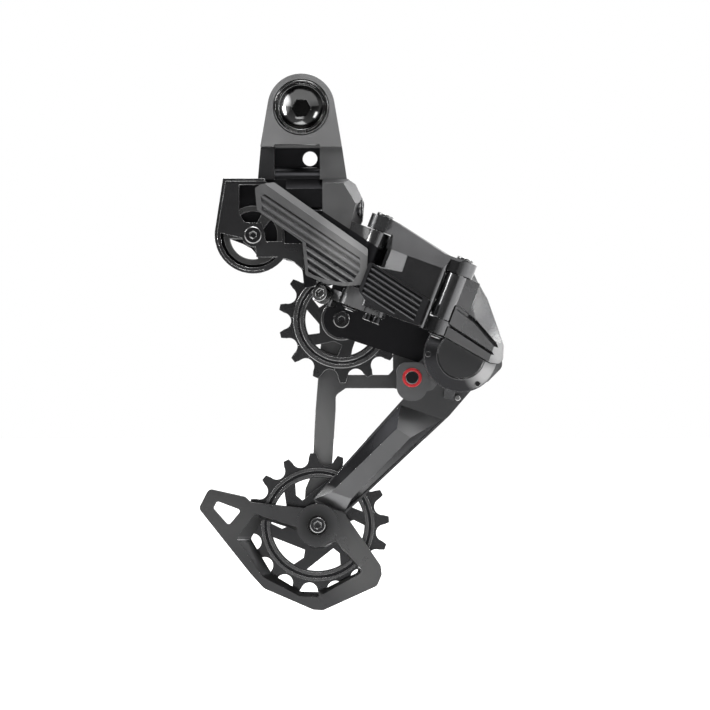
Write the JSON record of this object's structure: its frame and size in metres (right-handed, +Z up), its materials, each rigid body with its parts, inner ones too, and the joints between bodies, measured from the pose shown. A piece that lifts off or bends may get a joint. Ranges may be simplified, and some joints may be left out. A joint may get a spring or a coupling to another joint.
{
  "type": "rear bicycle derailleur",
  "caption": "Clevis-mounted rear derailleur: slant parallelogram, clutched lower knuckle, sprung two-pulley cage, cable roller and fluted skid plates.",
  "frame": {"origin": "on the thru-axle's axis, at the middle of the dropout slot", "axes": "+X towards the front of the bicycle, +Y inboard along the thru-axle, +Z up"},
  "size_m": [0.1474, 0.0696, 0.2615],
  "materials": {
    "forged_grey": "satin grey anodised forging",
    "dark_satin": "near-black satin forging",
    "cage_grey": "dark satin anodised plate",
    "plate_black": "black anodised plate",
    "skid_polymer": "fluted dark composite guard",
    "roller_polymer": "black nylon",
    "pulley_black": "black anodised pulley",
    "steel": "bright hardened steel",
    "black_bolt": "black oxide screws",
    "bronze": "sintered bronze bush",
    "red_ring": "red anodised ring",
    "seal": "rubber seal"
  },
  "bodies": {
    "upper_knuckle": {"b_knuckle": "forged_grey", "mount_bolt": "forged_grey", "mount_washer": "steel", "mount_bushing": "steel", "b_skid_plate": "skid_polymer", "skid_plate_screws": "black_bolt", "cable_pulley_guard": "dark_satin", "cable_pulley_bush": "bronze", "cable_pulley_bolt": "black_bolt", "housing_stop": "dark_satin", "pin_b_outer": "steel", "pin_b_inner": "steel", "pin_b_clips": "steel", "shift_spring": "steel"},
    "cable_roller": {"cable_pulley": "roller_polymer"},
    "outer_link": {"outer_link": "dark_satin", "outer_link_bushes": "bronze", "link_skid_plate": "skid_polymer", "link_skid_screws": "black_bolt", "cable_anchor_bolt": "steel", "cable_anchor_washer": "steel"},
    "high_screw": {"limit_screw_high": "black_bolt"},
    "low_screw": {"limit_screw_low": "black_bolt"},
    "inner_link": {"inner_link": "dark_satin", "inner_link_bushes": "bronze"},
    "lower_knuckle": {"p_knuckle": "dark_satin", "pin_p_outer": "steel", "pin_p_inner": "steel", "pin_p_clips": "steel", "clutch_cover": "dark_satin", "clutch_cover_screws": "black_bolt", "cage_bush": "bronze", "cage_spring": "steel", "roller_clutch": "steel", "clutch_band": "steel", "clutch_screw": "black_bolt", "lock_button_spring": "steel"},
    "cage_lock": {"lock_button": "black_bolt", "lock_button_ring": "red_ring"},
    "cage": {"cage_outer_plate": "cage_grey", "cage_inner_plate": "plate_black", "cage_axle": "steel", "cage_axle_screw": "black_bolt", "upper_pulley_bolt": "black_bolt", "lower_pulley_bolt": "black_bolt", "upper_pulley_sleeve": "steel", "lower_pulley_sleeve": "steel", "cage_standoff": "black_bolt", "cage_standoff_screw": "black_bolt", "cage_stop_pin": "steel"},
    "guide_pulley": {"upper_pulley": "pulley_black", "upper_bearing_outer": "steel", "upper_bearing_balls": "steel", "upper_bearing_shields": "seal"},
    "tension_pulley": {"lower_pulley": "pulley_black", "lower_bearing_outer": "steel", "lower_bearing_balls": "steel", "lower_bearing_shields": "seal"}
  },
  "joints": [
    {"name": "shift", "type": "hinge", "parent": "upper_knuckle", "child": "outer_link", "pos_m": [0.03279, -0.012, -0.07364], "axis": [0.3584, 0, 0.9336], "range_deg": [0, 52], "stiffness_Nm_per_rad": 0.3, "springref_deg": -28.65},
    {"name": "inner_link_pivot", "type": "hinge", "parent": "upper_knuckle", "child": "inner_link", "pos_m": [0.03092, 0.005, -0.07292], "axis": [0.3584, 0, 0.9336], "range_deg": [0, 52]},
    {"name": "lower_knuckle_pivot", "type": "hinge", "parent": "outer_link", "child": "lower_knuckle", "pos_m": [0.0721, -0.035, -0.09195], "axis": [0.3584, 0, 0.9336], "range_deg": [-52, 0]},
    {"name": "cage_pivot", "type": "hinge", "parent": "lower_knuckle", "child": "cage", "pos_m": [0.0771, 0, -0.1202], "axis": [0, -1, 0], "range_deg": [0, 80], "stiffness_Nm_per_rad": 0.5, "springref_deg": -34.38},
    {"name": "guide_pulley_spin", "type": "hinge", "parent": "cage", "child": "guide_pulley", "pos_m": [0.0195, 0.02, -0.1027], "axis": [0, 1, 0], "continuous": true},
    {"name": "tension_pulley_spin", "type": "hinge", "parent": "cage", "child": "tension_pulley", "pos_m": [0.0078, 0.02, -0.2034], "axis": [0, 1, 0], "continuous": true},
    {"name": "cable_roller_spin", "type": "hinge", "parent": "upper_knuckle", "child": "cable_roller", "pos_m": [-0.0232, -0.0088, -0.062], "axis": [0, 1, 0], "continuous": true},
    {"name": "cage_lock_press", "type": "slide", "parent": "lower_knuckle", "child": "cage_lock", "axis": [0, 1, 0], "range_m": [0, 0.004], "stiffness_N_per_m": 300, "springref_m": -0.002, "deforming": ["lock_button_spring"]},
    {"name": "high_limit_turn", "type": "hinge", "parent": "outer_link", "child": "high_screw", "pos_m": [0.03353, -0.02052, -0.09856], "axis": [0.3584, 0, 0.9336], "range_deg": [-180, 180]},
    {"name": "low_limit_turn", "type": "hinge", "parent": "outer_link", "child": "low_screw", "pos_m": [0.03774, -0.02291, -0.10018], "axis": [0.3584, 0, 0.9336], "range_deg": [-180, 180]}
  ],
  "couplings": [
    {"joint": "inner_link_pivot", "follows": "shift", "ratio": 1},
    {"joint": "lower_knuckle_pivot", "follows": "shift", "ratio": -1}
  ]
}
